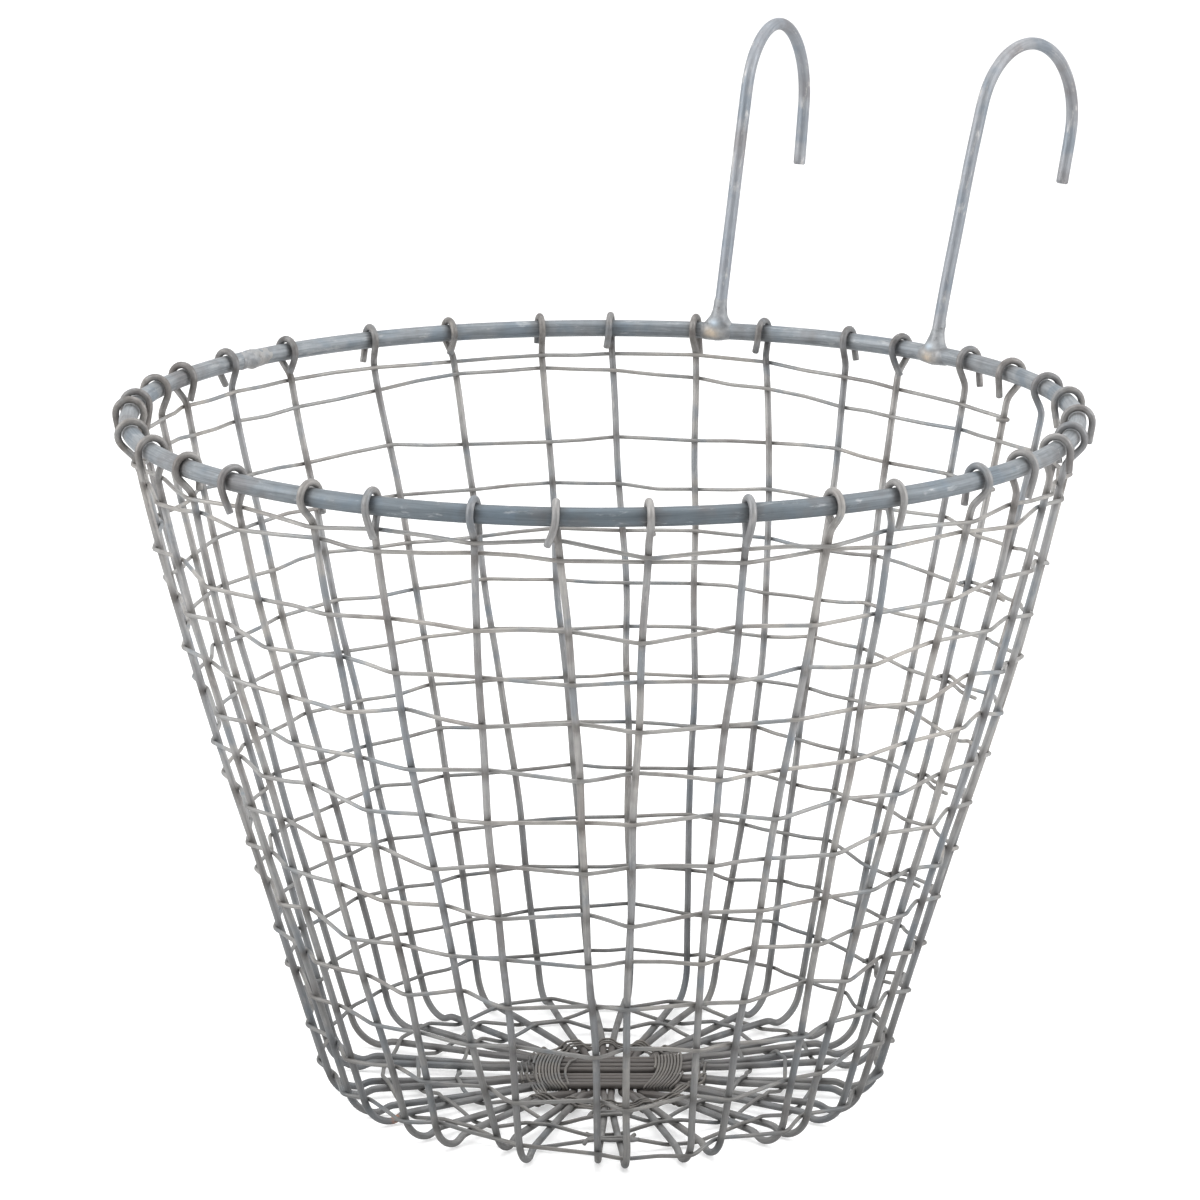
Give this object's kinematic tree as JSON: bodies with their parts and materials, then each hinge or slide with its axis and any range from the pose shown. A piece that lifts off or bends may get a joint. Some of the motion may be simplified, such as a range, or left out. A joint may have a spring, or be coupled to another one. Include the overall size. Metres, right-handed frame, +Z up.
{
  "type": "hanging wire basket",
  "caption": "Round tapered basket woven from galvanised wire over a rod ring, with two bent rod hooks welded to its rim to hang it over a rail.",
  "frame": {"origin": "on the floor under the middle of the crossing at the centre of the base, in line with the ring's centre", "axes": "+Z up, -Z out of the base it stands on; +Y towards the side with the hooks; X to the basket's right seen from the side without hooks"},
  "size_m": [0.3221, 0.3919, 0.3344],
  "materials": {
    "ring_zinc": "matte, brushed lengthways, dull blue-grey zinc coat",
    "hook_zinc": "satin, pale zinc coat with whitish rub marks",
    "stake_zinc": "dull grey zinc coat with a fine grain",
    "weaver_zinc": "dull grey zinc coat, slightly warm",
    "lashing_wire": "dull brownish grey, weathered",
    "weld_metal": "rough, beige and brown weld bead"
  },
  "bodies": {
    "root": {"rim_ring": "ring_zinc", "rim_seam_weld": "weld_metal", "hook_left": "hook_zinc", "hook_right": "hook_zinc", "hook_weld_left": "weld_metal", "hook_weld_right": "weld_metal", "stake_wire_01": "stake_zinc", "stake_wire_02": "stake_zinc", "stake_wire_03": "stake_zinc", "stake_wire_04": "stake_zinc", "stake_wire_05": "stake_zinc", "stake_wire_06": "stake_zinc", "stake_wire_07": "stake_zinc", "stake_wire_08": "stake_zinc", "stake_wire_09": "stake_zinc", "stake_wire_10": "stake_zinc", "stake_wire_11": "stake_zinc", "stake_wire_12": "stake_zinc", "stake_wire_13": "stake_zinc", "stake_wire_14": "stake_zinc", "stake_wire_15": "stake_zinc", "stake_wire_16": "stake_zinc", "stake_wire_17": "stake_zinc", "stake_wire_18": "stake_zinc", "rim_weaver": "weaver_zinc", "side_weaver_1": "weaver_zinc", "side_weaver_2": "weaver_zinc", "side_weaver_3": "weaver_zinc", "side_weaver_4": "weaver_zinc", "side_weaver_5": "weaver_zinc", "side_weaver_6": "weaver_zinc", "base_weaver_inner": "weaver_zinc", "base_weaver_middle": "weaver_zinc", "base_weaver_outer": "weaver_zinc", "slath_binding_left": "lashing_wire", "slath_binding_right": "lashing_wire", "slath_twine_front": "lashing_wire", "slath_twine_back": "lashing_wire", "slath_twine_left": "lashing_wire", "slath_twine_right": "lashing_wire"}
  },
  "joints": []
}
